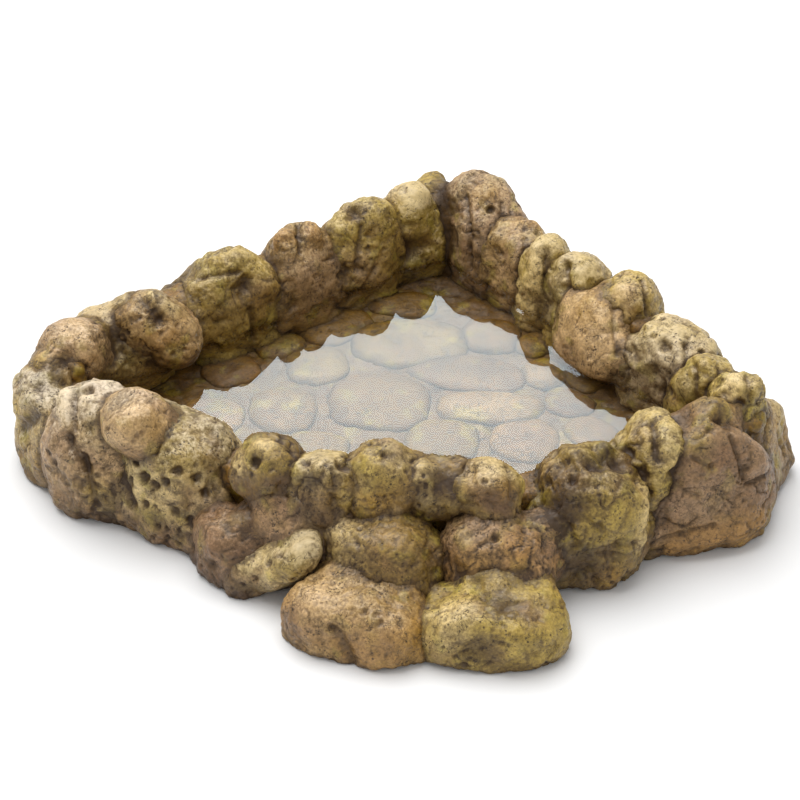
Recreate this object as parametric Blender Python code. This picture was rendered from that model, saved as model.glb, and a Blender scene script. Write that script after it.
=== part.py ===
"""Corner water dish of painted resin rock, in metres, +Z up.

Two straight walls of stones meet at a square back corner on +Y. A curved wall of boulders closes the
front, with two tiers of step stones before it at -Y. The stones are bonded to a basin shell, which
holds a floor of flat cobbles and the water. The origin is under the middle of the dish.
"""

import math
import random
from collections import namedtuple

import bmesh
import bpy
from mathutils import Euler, Matrix, Vector

MM = 0.001

# Driving dimensions, in millimetres and degrees.
GAP = 0.3                     # clearance that bonded neighbours keep
MERGE_DISTANCE = 0.003        # of points that a cut leaves almost on each other
BACK_CORNER = (6.0, 130.0)    # where the centre lines of the two straight walls meet
LEFT_YAW = 45.0               # direction of the left wall, seen from its far end to the corner
RIGHT_YAW = -45.0             # direction of the right wall, from the corner to its far end
CURB_THICKNESS = 12.0         # of the shell's curb, hidden inside the stones
CURB_HEIGHT = 42.0            # under the straight walls and the ends
FRONT_CURB_HEIGHT = 34.0      # under the row of rim knobs
FRONT_CURB_DEPTH = -30.0      # the curb is lower in front of this y
FLOOR_THICKNESS = 4.5         # of the shell's floor slab
COBBLE_TOP = 8.7              # highest point of the floor cobbles
WATER_BOTTOM = 9.3
WATER_LEVEL = 22.0
WATER_INSET = 8.5             # from the curb to the edge of the simplified water body
MATERIAL_ROUGHNESS = 0.55

# Centre line of the curb, counter-clockwise from the back corner.
CURB_LINE = [
    (6, 122), (-4, 118), (-126, -4), (-131, -18), (-124, -34), (-104, -46), (-74, -58), (-37, -70),
    (0, -74), (42, -72), (76, -57), (101, -39), (126, -26), (139, -17), (137, -1), (16, 118),
]

# Form of a stone: how many lumps and chips, and how deep a chip cuts into the unit form.
SMALL_STONE = 30.0            # stones under this size are modelled more coarsely
FLAT_ANGLE = 2.5              # faces that meet flatter than this become one
LUMPS = 5
CHIPS = 4
CHIP_LEVEL = 0.86

TONES = {
    "tan": (0.36, 0.27, 0.14),
    "yellow": (0.42, 0.33, 0.12),
    "pink": (0.42, 0.26, 0.18),
    "peach": (0.50, 0.34, 0.20),
    "grey": (0.30, 0.26, 0.16),
    "dark": (0.16, 0.12, 0.07),
    "mauve": (0.28, 0.18, 0.14),
}
SHELL_COLOUR = (0.14, 0.10, 0.05)
WATER_COLOUR = (0.80, 0.87, 0.88)

# One row for each stone, in millimetres and degrees. bottom and top are the heights it would reach
# upright. width runs along the stone's own wall and depth across it. lean_out tips its top away from
# the water and lean_along tips it along the wall. slope raises its far end and lowers its near end.
# power 2 is an egg and 4 nearly a block, and taper narrows the top.
Stone = namedtuple(
    "Stone",
    "name x y bottom top width depth yaw lean_out lean_along slope power taper lump tone",
)


def wall_stone(name, yaw, along, out, bottom, top, width, depth, **form):
    """A stone placed by its distance along a straight wall from the back corner."""
    forward = Vector((math.cos(math.radians(yaw)), math.sin(math.radians(yaw))))
    if yaw == LEFT_YAW:
        forward.negate()
        outward = Vector((forward.y, -forward.x))
    else:
        outward = Vector((-forward.y, forward.x))
    place = Vector(BACK_CORNER) + forward * along + outward * out
    return free_stone(name, place.x, place.y, bottom, top, width, depth, yaw=yaw, **form)


def free_stone(name, x, y, bottom, top, width, depth, yaw=0.0, lean_out=0.0, lean_along=0.0,
               slope=0.0, power=2.6, taper=0.08, lump=0.10, tone="tan"):
    """A stone placed by its centre in plan."""
    return Stone(name, x, y, bottom, top, width, depth, yaw, lean_out, lean_along, slope, power, taper,
                 lump, tone)


def left(name, along, out, bottom, top, width, depth, **form):
    return wall_stone(name, LEFT_YAW, along, out, bottom, top, width, depth, **form)


def right(name, along, out, bottom, top, width, depth, **form):
    return wall_stone(name, RIGHT_YAW, along, out, bottom, top, width, depth, **form)


# Earlier stones keep their whole form, and later ones are fitted round them.
LOOSE_BOULDERS = [
    free_stone("peach_boulder", -88, -66, 36, 59, 25, 25, yaw=-20, power=2.4, taper=0.0, tone="peach"),
    left("left_end_boulder", 198, -8, 25, 53, 28, 26, power=2.4, taper=0.1, tone="pink"),
    left("left_leaning_egg", 158, -13, 19, 55, 24, 24, lean_out=26, lean_along=-30, power=2.4,
         tone="peach"),
    right("right_inner_wedge", 111, -13, 13, 48, 37, 21, lean_along=-16, lean_out=14, taper=0.25,
          tone="pink"),
    right("right_end_knob", 191, -8, 30, 57, 20, 20, power=2.4, tone="yellow"),
    free_stone("rim_boulder_holed", -35, -76, 30, 54, 26, 26, yaw=-12, power=2.4, tone="yellow"),
    free_stone("rim_boulder_middle", 9, -76, 28, 56, 28, 27, power=2.4, taper=0.2, tone="tan"),
    free_stone("rim_knob_right", 48.5, -77, 31, 53, 24, 24, power=2.3, tone="yellow"),
    free_stone("rim_knob_dark", 29, -77, 30, 51, 21, 24, power=2.7, tone="dark"),
    free_stone("rim_crag_yellow", -14, -82, 31, 52, 21, 20, lump=0.2, power=2.8, tone="yellow"),
]
STEP_STONES = [
    free_stone("upper_step_left", 12, -95, 3, 34, 43, 30, power=3.2, taper=0.05, tone="tan"),
    free_stone("upper_step_right", 52, -88, 3, 34, 42, 30, yaw=6, power=3.2, taper=0.05, tone="pink"),
    free_stone("lower_step_left", 5, -117, -8, 21, 55, 37, yaw=-8, power=2.8, tone="peach"),
    free_stone("lower_step_right", 55, -111, -8, 23, 55, 39, yaw=8, power=2.7, tone="yellow"),
    free_stone("slanted_side_stone", -26, -100, -8, 37, 13, 17, yaw=-20, lean_along=48, power=2.8,
               tone="grey"),
    free_stone("mauve_side_boulder", -46, -88, -8, 25, 32, 28, yaw=-25, power=2.5, tone="mauve"),
]
WALL_STONES = [
    left("left_wall_block", 122, -1, -6, 55, 48, 32, slope=0.14, power=3.4, tone="yellow"),
    left("left_wall_wedge", 86, -3, -6, 54, 39, 30, power=3.0, taper=0.12, tone="pink"),
    left("left_wall_twin", 55, -3, -6, 55, 37, 30, power=3.2, lump=0.16, tone="yellow"),
    left("left_corner_oval", 28, -3, -6, 56, 25, 28, power=2.7, tone="yellow"),
    left("left_corner_chip", 9, 0, -6, 52, 24, 29, power=3.2, tone="dark"),
    left("left_dark_block", 173, -1, -6, 47, 46, 32, power=3.4, tone="dark"),
    left("left_back_stone", 149, 3, -6, 41, 32, 24, power=2.8, tone="grey"),
    right("right_corner_slab", 24, -3, -6, 57, 38, 32, slope=-0.2, power=3.4, tone="pink"),
    right("right_corner_wedge", 48, -2, -6, 51, 28, 28, power=3.2, taper=0.1, tone="tan"),
    right("right_wall_spur", 69, -4, -6, 51, 18, 26, power=3.0, tone="yellow"),
    right("right_wall_cap", 88, -1, -6, 54, 28, 28, power=3.0, tone="grey"),
    right("right_wall_block", 114, 3, -6, 55, 28, 28, power=3.2, tone="yellow"),
    right("right_cracked_block", 146, -1, -6, 49, 40, 32, slope=-0.05, power=3.6, tone="grey"),
    right("right_wall_knob", 172, -5, 6, 53, 24, 26, power=2.8, taper=0.2, tone="yellow"),
    free_stone("front_right_block", 121, -34, -6, 53, 54, 38, yaw=28, power=3.2, taper=0.22, tone="pink"),
    free_stone("front_craggy_cap", 102, -40, -6, 47, 28, 32, yaw=36, lump=0.2, tone="yellow"),
    free_stone("front_craggy_mound", 80, -63, -6, 48, 50, 42, yaw=28, taper=0.1, power=3.0, lump=0.15,
               tone="yellow"),
    free_stone("right_end_stone", 141, -6, -8, 39, 48, 30, yaw=75, power=2.8, taper=0.3, tone="tan"),
    free_stone("front_matrix_stone", -20, -84, -6, 36, 48, 26, yaw=-8, power=3.2, tone="mauve"),
    free_stone("pitted_boulder", -74, -60, -6, 47, 56, 40, yaw=-20, power=2.8, taper=0.15, tone="grey"),
    free_stone("ridged_tall_stone", -108, -53, -8, 51, 36, 38, yaw=-28, power=2.9, tone="pink"),
    free_stone("left_end_stone", -134, -34, -8, 43, 42, 25, yaw=-68, power=2.7, tone="grey"),
]

# Flat cobbles of the floor: x, y, width, depth, yaw, tone.
FLOOR_COBBLES = [
    (-2, 49, 50, 36, 8, "pink"), (24, 32, 50, 25, -6, "tan"), (-8, 6, 42, 38, 0, "grey"),
    (38, 9, 44, 22, 4, "pink"), (22, -14, 30, 27, 0, "peach"), (54, -9, 28, 30, 0, "grey"),
    (-45, -5, 28, 32, 10, "grey"), (-37, 27, 27, 28, 20, "pink"), (69, 18, 22, 20, -30, "yellow"),
    (32, 60, 26, 26, 0, "grey"), (57, 37, 20, 22, -40, "tan"), (-27, -27, 28, 22, 0, "grey"),
    (79, 0, 22, 20, -30, "tan"), (-35, 57, 32, 26, 40, "yellow"), (-55, 38, 22, 18, 40, "peach"),
    (-72, 18, 24, 24, 40, "yellow"), (-10, 76, 30, 20, 10, "peach"), (52, 58, 16, 24, -40, "yellow"),
    (72, 38, 24, 18, -40, "tan"), (-72, -14, 26, 26, 0, "yellow"),
]


def clear_scene():
    for item in list(bpy.data.objects):
        bpy.data.objects.remove(item)


def make_collection(name):
    group = bpy.data.collections.new(name)
    bpy.context.scene.collection.children.link(group)
    return group


def principled(name, colour, roughness=MATERIAL_ROUGHNESS, transmission=0.0):
    material = bpy.data.materials.new(name)
    material.use_nodes = True
    shader = material.node_tree.nodes["Principled BSDF"]
    shader.inputs["Base Color"].default_value = (*colour, 1.0)
    shader.inputs["Roughness"].default_value = roughness
    shader.inputs["Metallic"].default_value = 0.0
    shader.inputs["Transmission Weight"].default_value = transmission
    return material


def new_object(name, form, group, material=None):
    """Turns a bmesh into an object of the group."""
    mesh = bpy.data.meshes.new(name)
    form.to_mesh(mesh)
    form.free()
    item = bpy.data.objects.new(name, mesh)
    group.objects.link(item)
    if material:
        mesh.materials.append(material)
    return item


def random_direction(rng, lowest=-1.0):
    height = rng.uniform(lowest, 1.0)
    turn = rng.uniform(0.0, 2.0 * math.pi)
    ring = math.sqrt(1.0 - height * height)
    return Vector((ring * math.cos(turn), ring * math.sin(turn), height))


def grid_cuts(width, depth, height):
    """A finer grid for a larger stone."""
    return 2 if max(width, depth, height) < SMALL_STONE else 3


def unit_rock(seed, cuts, power, lump):
    """A cube-sphere of half size 1, shaped between an egg and a block, with lumps and flat chips."""
    rng = random.Random(seed)
    form = bmesh.new()
    bmesh.ops.create_cube(form, size=2.0)
    bmesh.ops.subdivide_edges(form, edges=form.edges[:], cuts=cuts, use_grid_fill=True)
    lumps = [(random_direction(rng), rng.uniform(-lump, lump)) for _ in range(LUMPS)]
    for vert in form.verts:
        ray = vert.co.normalized()
        reach = sum(abs(part) ** power for part in ray) ** (-1.0 / power)
        reach *= 1.0 + sum(size * max(0.0, ray.dot(axis)) ** 3 for axis, size in lumps)
        vert.co = ray * reach
    for _ in range(CHIPS):
        axis = random_direction(rng, lowest=-0.2)
        level = CHIP_LEVEL * max(vert.co.dot(axis) for vert in form.verts)
        for vert in form.verts:
            over = vert.co.dot(axis) - level
            if over > 0.0:
                vert.co -= axis * over * 0.8
    return form


def close_flat(form, height):
    """Cuts everything under a height away and closes the cut, so the stone sits flat."""
    geometry = form.verts[:] + form.edges[:] + form.faces[:]
    bmesh.ops.bisect_plane(form, geom=geometry, dist=1e-7, plane_co=(0, 0, height),
                           plane_no=(0, 0, -1), clear_outer=True)
    bmesh.ops.holes_fill(form, edges=form.edges[:], sides=0)
    bmesh.ops.triangulate(form, faces=form.faces[:])
    bmesh.ops.recalc_face_normals(form, faces=form.faces[:])


def stone_form(stone, ground):
    """The stone's whole form at its place, before its neighbours are cut from it."""
    height = stone.top - stone.bottom
    cuts = grid_cuts(stone.width, stone.depth, height)
    form = unit_rock(stone.name, cuts, stone.power, stone.lump)
    for vert in form.verts:
        across = vert.co.x
        narrowing = 1.0 - stone.taper * vert.co.z
        vert.co.x *= narrowing * stone.width * MM / 2
        vert.co.y *= narrowing * stone.depth * MM / 2
        vert.co.z += stone.slope * across * max(0.0, vert.co.z)
        vert.co.z *= height * MM / 2
    turn = Euler([math.radians(a) for a in (-stone.lean_out, stone.lean_along, stone.yaw)])
    middle = Vector((stone.x, stone.y, (stone.top + stone.bottom) / 2)) * MM
    form.transform(Matrix.Translation(middle) @ turn.to_matrix().to_4x4())
    close_flat(form, ground * MM)
    return form


def grown_copy(item, cutters):
    """The space that a stone and its clearance take up, as a cutter."""
    form = bmesh.new()
    form.from_mesh(item.data)
    bmesh.ops.recalc_face_normals(form, faces=form.faces[:])
    moves = [(vert, vert.normal * GAP * MM * 1.3) for vert in form.verts]
    for vert, move in moves:
        vert.co += move
    return as_cutter(new_object("space_of_" + item.name, form, cutters))


def as_cutter(item):
    item.hide_render = True
    item.display_type = "WIRE"
    return item


def box_of(item):
    points = [item.matrix_world @ vert.co for vert in item.data.vertices]
    low = [min(point[axis] for point in points) for axis in range(3)]
    high = [max(point[axis] for point in points) for axis in range(3)]
    return low, high


def boxes_meet(first, second):
    return all(first[0][axis] < second[1][axis] and second[0][axis] < first[1][axis] for axis in range(3))


def carve(item, cutters):
    """Cuts each cutter from the piece in turn, then keeps the piece's largest body."""
    box = box_of(item)
    for cutter in cutters:
        if boxes_meet(box, box_of(cutter)):
            cut_one(item, cutter)
    form = bmesh.new()
    form.from_mesh(item.data)
    keep_largest_body(form)
    form = if_still_closed(form, flatten)
    form.to_mesh(item.data)
    form.free()


def cut_one(item, cutter):
    boolean = item.modifiers.new("clear of " + cutter.name, "BOOLEAN")
    boolean.operation = "DIFFERENCE"
    boolean.solver = "EXACT"
    boolean.object = cutter
    bpy.context.view_layer.update()
    solid = item.evaluated_get(bpy.context.evaluated_depsgraph_get())
    form = bmesh.new()
    form.from_mesh(solid.data)
    item.modifiers.clear()
    form = if_still_closed(form, merge_near_points)
    form.to_mesh(item.data)
    form.free()


def merge_near_points(form):
    bmesh.ops.remove_doubles(form, verts=form.verts[:], dist=MERGE_DISTANCE * MM)
    bmesh.ops.dissolve_degenerate(form, edges=form.edges[:], dist=MERGE_DISTANCE * MM)


def flatten(form):
    bmesh.ops.dissolve_limit(form, angle_limit=math.radians(FLAT_ANGLE), verts=form.verts[:],
                             edges=form.edges[:])


def if_still_closed(form, change):
    """The form after a change, or as it was where the change would open it, in triangles."""
    changed = form.copy()
    change(changed)
    bmesh.ops.triangulate(changed, faces=changed.faces[:])
    if all(edge.is_manifold for edge in changed.edges):
        form.free()
        return changed
    changed.free()
    bmesh.ops.triangulate(form, faces=form.faces[:])
    return form


def keep_largest_body(form):
    unseen = set(form.verts)
    bodies = []
    while unseen:
        front = [unseen.pop()]
        body = set(front)
        while front:
            vert = front.pop()
            for edge in vert.link_edges:
                other = edge.other_vert(vert)
                if other in unseen:
                    unseen.remove(other)
                    body.add(other)
                    front.append(other)
        bodies.append(body)
    bodies.sort(key=box_size, reverse=True)
    for body in bodies[1:]:
        bmesh.ops.delete(form, geom=list(body), context="VERTS")


def box_size(verts):
    size = 1.0
    for axis in range(3):
        places = [vert.co[axis] for vert in verts]
        size *= max(places) - min(places)
    return size


def offset_outline(points, distance):
    """The outline moved outwards by a distance, with mitred corners."""
    moved = []
    for index, point in enumerate(points):
        here = Vector(point)
        before = (here - Vector(points[index - 1])).normalized()
        after = (Vector(points[(index + 1) % len(points)]) - here).normalized()
        mitre = (Vector((before.y, -before.x)) + Vector((after.y, -after.x))).normalized()
        stretch = mitre.dot(Vector((after.y, -after.x)))
        moved.append(here + mitre * distance / stretch)
    return moved


def plate(name, outline, bottom, top, group):
    """A flat outline between two heights, as a mesh object."""
    curve = bpy.data.curves.new(name, "CURVE")
    curve.dimensions = "2D"
    curve.fill_mode = "BOTH"
    curve.extrude = (top - bottom) / 2 * MM
    spline = curve.splines.new("POLY")
    spline.points.add(len(outline) - 1)
    for point, place in zip(spline.points, outline):
        point.co = (place[0] * MM, place[1] * MM, 0.0, 1.0)
    spline.use_cyclic_u = True
    guide = bpy.data.objects.new(name + "_outline", curve)
    group.objects.link(guide)
    bpy.context.view_layer.update()
    mesh = bpy.data.meshes.new_from_object(guide.evaluated_get(bpy.context.evaluated_depsgraph_get()))
    form = bmesh.new()
    form.from_mesh(mesh)
    bmesh.ops.remove_doubles(form, verts=form.verts[:], dist=1e-6)
    bmesh.ops.recalc_face_normals(form, faces=form.faces[:])
    form.transform(Matrix.Translation((0, 0, (top + bottom) / 2 * MM)))
    bpy.data.objects.remove(guide)
    bpy.data.meshes.remove(mesh)
    return new_object(name, form, group)


def basin(name, clearance, group, cutters):
    """The shell: a slab with a curb round it. The clearance grows it on every side."""
    half = CURB_THICKNESS / 2 + clearance
    foot = -1.0 if clearance else 0.0
    above = CURB_HEIGHT + 20.0
    body = plate(name, offset_outline(CURB_LINE, half), foot, CURB_HEIGHT + clearance, group)
    pocket_outline = offset_outline(CURB_LINE, -half)
    pocket = plate(name + "_pocket", pocket_outline, FLOOR_THICKNESS + clearance, above, cutters)
    front_outline = [(-200, -200), (200, -200), (200, FRONT_CURB_DEPTH), (-200, FRONT_CURB_DEPTH)]
    front = plate(name + "_front", front_outline, FRONT_CURB_HEIGHT + clearance, above, cutters)
    carve(body, [pocket, front])
    bpy.data.objects.remove(pocket)
    bpy.data.objects.remove(front)
    return body


def cobble_stone(number, row):
    x, y, width, depth, yaw, tone = row
    bottom = 2 * (FLOOR_THICKNESS + GAP) - COBBLE_TOP
    return free_stone(f"floor_cobble_{number:02d}", x, y, bottom, COBBLE_TOP, width, depth, yaw=yaw,
                      power=3.0, taper=0.0, lump=0.06, tone=tone)


def centre_on_origin(items):
    """Moves the meshes so that the origin is under the middle of the whole dish."""
    boxes = [box_of(item) for item in items]
    low = [min(box[0][axis] for box in boxes) for axis in range(3)]
    high = [max(box[1][axis] for box in boxes) for axis in range(3)]
    shift = Matrix.Translation((-(low[0] + high[0]) / 2, -(low[1] + high[1]) / 2, -low[2]))
    for item in items:
        item.data.transform(shift)


def build():
    clear_scene()
    parts = make_collection("corner_water_dish")
    cutters = make_collection("cutters")
    tones = {name: principled("stone_" + name, colour) for name, colour in TONES.items()}

    shell = basin("basin_shell", 0.0, parts, cutters)
    shell.data.materials.append(principled("shell_resin", SHELL_COLOUR))
    spaces = [as_cutter(basin("space_of_basin_shell", GAP, cutters, cutters))]

    pieces = [shell]
    cobbles = [cobble_stone(number + 1, row) for number, row in enumerate(FLOOR_COBBLES)]
    rows = [(stone, 0.0) for stone in LOOSE_BOULDERS + STEP_STONES + WALL_STONES]
    rows += [(stone, FLOOR_THICKNESS + GAP) for stone in cobbles]
    for stone, ground in rows:
        piece = new_object(stone.name, stone_form(stone, ground), parts, tones[stone.tone])
        space = grown_copy(piece, cutters)
        carve(piece, spaces)
        pieces.append(piece)
        spaces.append(space)

    inside = offset_outline(CURB_LINE, -CURB_THICKNESS / 2 - WATER_INSET)
    water = plate("water_fill", inside, WATER_BOTTOM, WATER_LEVEL, parts)
    water.data.materials.append(principled("water", WATER_COLOUR, roughness=0.02, transmission=1.0))
    carve(water, spaces)
    pieces.append(water)

    for space in spaces:
        bpy.data.objects.remove(space)
    centre_on_origin(pieces)


build()
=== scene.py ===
import math
from collections import namedtuple

import bmesh
import bpy
import numpy as np
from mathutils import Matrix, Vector
from mathutils.bvhtree import BVHTree


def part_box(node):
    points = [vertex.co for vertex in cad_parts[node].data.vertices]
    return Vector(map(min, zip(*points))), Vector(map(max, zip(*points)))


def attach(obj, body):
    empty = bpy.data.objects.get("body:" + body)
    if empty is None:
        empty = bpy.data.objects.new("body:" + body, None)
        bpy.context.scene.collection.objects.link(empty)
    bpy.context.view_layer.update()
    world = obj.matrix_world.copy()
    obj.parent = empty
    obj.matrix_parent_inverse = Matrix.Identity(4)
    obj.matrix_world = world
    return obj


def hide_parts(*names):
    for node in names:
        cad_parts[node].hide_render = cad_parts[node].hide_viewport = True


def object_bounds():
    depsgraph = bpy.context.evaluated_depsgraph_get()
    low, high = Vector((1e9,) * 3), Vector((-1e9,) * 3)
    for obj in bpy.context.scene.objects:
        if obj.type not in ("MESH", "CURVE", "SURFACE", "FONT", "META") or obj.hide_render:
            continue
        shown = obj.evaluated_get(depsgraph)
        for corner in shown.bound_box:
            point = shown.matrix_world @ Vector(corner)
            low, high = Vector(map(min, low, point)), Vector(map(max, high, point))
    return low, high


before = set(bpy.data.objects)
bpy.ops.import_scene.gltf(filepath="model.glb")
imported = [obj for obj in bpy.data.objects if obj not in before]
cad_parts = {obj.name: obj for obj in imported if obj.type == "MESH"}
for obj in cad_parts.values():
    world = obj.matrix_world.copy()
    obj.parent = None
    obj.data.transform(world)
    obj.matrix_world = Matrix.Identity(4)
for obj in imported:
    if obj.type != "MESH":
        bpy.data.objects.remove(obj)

# The visual model of a corner water dish in painted resin rock. Each CAD stone is rounded, swollen
# towards its neighbours until they look like one casting, carved, and painted. Lengths are in
# millimetres unless they are marked otherwise.

MM = 0.001
CAD_LOW, CAD_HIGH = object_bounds()

WATER_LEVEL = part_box("water_fill")[1].z / MM
WATER_FOOT = 2.0         # inside the shell's slab, so that the water's underside never shows
WATER_STEP = 1.2         # between the points of its surface
WATER_RISE = 1.0         # how high it climbs the stones
RELIEF_HEIGHT = 0.9      # of the carved stones over their rounded forms, on average
CLIMB_REACH = 6.0        # beyond it from every stone, the water is level
CLIMB_WIDTH = 1.5        # how quickly the climb fades out
WATER_OVERLAP = 1.0      # how far the water runs past the curb's centre line
GAP_REACH = 9.0          # how far from a neighbour a stone starts to swell towards it
CREVICE_REACH = 2.2      # how far the dark wash and painted shade come out of a crevice
FAR = 99.0               # more than any distance inside the bowl
RAY_START = 400.0        # in front of every stone, where the rays that place the marks start
PATH_STEPS = 7           # places along a long mark
STONE_VOXEL = 1.5
COBBLE_VOXEL = 1.6
SHELL_VOXEL = 1.7

# Centre line of the curb that the stones stand on, counter-clockwise from the back corner.
CURB = [
    (1.3, 120.7), (-8.7, 116.7), (-130.7, -5.3), (-135.7, -19.3), (-128.7, -35.3), (-108.7, -47.3),
    (-78.7, -59.3), (-41.7, -71.3), (-4.7, -75.3), (37.3, -73.3), (71.3, -58.3), (96.3, -40.3),
    (121.3, -27.3), (134.3, -18.3), (132.3, -2.3), (11.3, 116.7),
]

# The marks below are laid out as seen from this direction, and the camera stands there.
AZIMUTH, ELEVATION = math.radians(9.4), math.radians(36.5)
TOWARDS = np.array([math.sin(AZIMUTH) * math.cos(ELEVATION), -math.cos(AZIMUTH) * math.cos(ELEVATION),
                    math.sin(ELEVATION)])
ACROSS = np.array([math.cos(AZIMUTH), math.sin(AZIMUTH), 0.0])
RISE = np.cross(TOWARDS, ACROSS)

COLOURS = {
    "white": (232, 216, 190), "cream": (214, 192, 148), "peach": (190, 161, 126),
    "pink": (154, 127, 103), "salmon": (142, 115, 86), "orange": (158, 120, 68),
    "ochre": (156, 121, 56), "yellow": (164, 142, 74), "olive": (122, 101, 54),
    "tan": (144, 116, 70), "grey": (148, 132, 100), "mauve": (122, 93, 70),
    "brown": (98, 71, 34), "umber": (58, 37, 13), "lichen": (144, 134, 50),
    "plum": (90, 63, 46), "lilac": (152, 135, 114), "gold": (112, 85, 32),
}

# How each stone is painted and carved. base and patch are its two main colours, heart is the colour of
# its middle, foot of its lower part, mostly darker and in part painted shade low on the stone, and top of
# its dry-brushed high points and of its painted top light. The wash sets its dark wash and painted shade
# in recesses, and the brush its dry brush and painted top light. Depths are in millimetres.
Look = namedtuple(
    "Look",
    "base patch heart foot top wash brush lump crease dent crack pit pit_size ridge ridge_axis swirl"
    " grain",
)


def look(base, patch, heart, foot, top, wash=1.0, brush=0.55, lump=2.0, crease=0.6, dent=1.0,
         crack=0.5, pit=0.4, pit_size=3.0, ridge=0.0, ridge_axis=(0, 0, 1), swirl=0.0, grain=0.28):
    return Look(base, patch, heart, foot, top, wash, brush, lump, crease, dent, crack, pit, pit_size,
                ridge, ridge_axis, swirl, grain)


LOOKS = {
    "peach_boulder": look("peach", "pink", "peach", "tan", "white", wash=0.6, brush=0.5, lump=0.9,
        dent=0.6, crack=0.35, pit=0.5, pit_size=3.4, grain=0.2),
    "left_end_boulder": look("pink", "mauve", "peach", "ochre", "white", wash=0.8, brush=0.45, lump=1.1),
    "left_leaning_egg": look("tan", "brown", "peach", "brown", "cream", wash=1.0, brush=0.6, dent=1.1,
        crack=0.7),
    "left_dark_block": look("yellow", "tan", "tan", "olive", "cream", wash=0.8, brush=1.0, grain=0.4),
    "left_end_stone": look("grey", "tan", "cream", "brown", "white", wash=0.8, brush=0.85, dent=1.2),
    "ridged_tall_stone": look("pink", "lilac", "peach", "brown", "white", wash=0.9, brush=0.9, ridge=0.7,
        dent=1.0, pit=0.8, pit_size=5.0),
    "pitted_boulder": look("grey", "tan", "cream", "mauve", "white", wash=1.0, brush=0.55, pit=1.3,
        pit_size=3.4, ridge=0.4, ridge_axis=(0.6, 0.2, -0.7), dent=1.0, crack=0.3),
    "rim_boulder_holed": look("olive", "brown", "brown", "plum", "cream", wash=1.4, brush=0.15, dent=1.3,
        pit=0.9, pit_size=6.0),
    "rim_crag_yellow": look("yellow", "grey", "yellow", "mauve", "cream", crease=1.4, wash=1.0, brush=0.9,
        dent=1.6, crack=0.9, lump=1.6),
    "rim_boulder_middle": look("yellow", "lilac", "tan", "brown", "cream", wash=0.9, brush=0.3, crack=0.6,
        pit=0.6),
    "rim_knob_dark": look("olive", "grey", "olive", "umber", "grey", wash=1.4, brush=0.3, pit=1.0,
        pit_size=2.6, grain=0.6),
    "rim_knob_right": look("yellow", "tan", "yellow", "plum", "cream", wash=0.9, brush=0.6, crack=0.7),
    "front_matrix_stone": look("mauve", "tan", "mauve", "brown", "peach", wash=0.9, brush=0.3, lump=1.6,
        crack=0.3, pit=0.3),
    "upper_step_left": look("olive", "tan", "olive", "brown", "cream", wash=1.15, brush=0.15, swirl=0.55,
        pit=0.4, pit_size=2.4),
    "upper_step_right": look("pink", "mauve", "orange", "mauve", "peach", wash=1.25, brush=0.1, swirl=0.2,
        pit=0.7, pit_size=2.2),
    "lower_step_left": look("tan", "peach", "orange", "tan", "cream", wash=0.7, brush=0.4, swirl=0.4,
        dent=0.7, crack=0.4),
    "lower_step_right": look("yellow", "olive", "yellow", "olive", "cream", wash=0.8, brush=0.3, dent=1.1,
        pit=0.6, pit_size=2.2),
    "slanted_side_stone": look("grey", "lilac", "cream", "brown", "cream", wash=0.8, brush=1.1, pit=0.9,
        pit_size=2.4),
    "mauve_side_boulder": look("mauve", "plum", "pink", "umber", "peach", wash=1.0, brush=0.5),
    "front_craggy_mound": look("olive", "brown", "yellow", "olive", "cream", crease=1.4, wash=1.2,
        brush=0.45, lump=2.6, dent=2.4, grain=0.7, pit=0.7, pit_size=2.2, crack=0.4),
    "front_craggy_cap": look("yellow", "grey", "yellow", "olive", "cream", crease=1.4, wash=1.2,
        brush=0.6, lump=2.2, dent=1.8, crack=0.8),
    "front_right_block": look("mauve", "pink", "mauve", "ochre", "peach", wash=0.95, brush=0.15,
        crack=1.3, pit=0.5, pit_size=2.6, lump=1.8),
    "right_end_stone": look("tan", "olive", "tan", "brown", "cream", wash=0.7, brush=0.8, lump=1.5),
    "right_end_knob": look("yellow", "cream", "yellow", "olive", "cream", wash=1.0, crack=0.8, dent=1.2),
    "right_wall_knob": look("yellow", "olive", "yellow", "olive", "cream", wash=1.0, crack=0.9, dent=1.3),
    "right_cracked_block": look("lilac", "cream", "lilac", "tan", "cream", crease=1.2, wash=0.65,
        brush=0.9, crack=1.1, ridge=0.4, dent=1.0),
    "right_inner_wedge": look("peach", "pink", "peach", "brown", "cream", wash=0.6, brush=0.5, lump=0.8,
        dent=0.5, crack=0.25, pit=0.3, grain=0.2),
    "right_wall_block": look("yellow", "pink", "yellow", "olive", "cream", crease=1.4, wash=0.9,
        crack=0.7, dent=1.2),
    "right_wall_cap": look("yellow", "lilac", "grey", "tan", "cream", crease=1.0, wash=0.6, brush=0.8,
        dent=1.3),
    "right_wall_spur": look("yellow", "cream", "cream", "tan", "cream", crease=1.0, wash=0.6, brush=0.8,
        dent=1.2),
    "right_corner_wedge": look("tan", "pink", "peach", "brown", "cream", wash=1.0, dent=1.1),
    "right_corner_slab": look("pink", "grey", "pink", "brown", "cream", wash=1.1, crack=0.9, brush=0.6,
        lump=1.5),
    "left_corner_chip": look("yellow", "brown", "olive", "brown", "yellow", wash=1.2, brush=0.3),
    "left_corner_oval": look("yellow", "tan", "yellow", "olive", "cream", wash=0.55, brush=1.2, dent=1.0),
    "left_wall_twin": look("yellow", "olive", "tan", "brown", "cream", crease=1.4, wash=0.85, dent=1.5,
        lump=1.7),
    "left_wall_wedge": look("tan", "olive", "pink", "brown", "cream", wash=0.95, dent=1.2),
    "left_wall_block": look("yellow", "olive", "tan", "olive", "cream", crease=1.2, wash=0.85, brush=0.6,
        dent=1.4, lump=1.8, crack=0.5),
    "left_back_stone": look("grey", "olive", "tan", "brown", "cream", wash=1.1),
}

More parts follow.
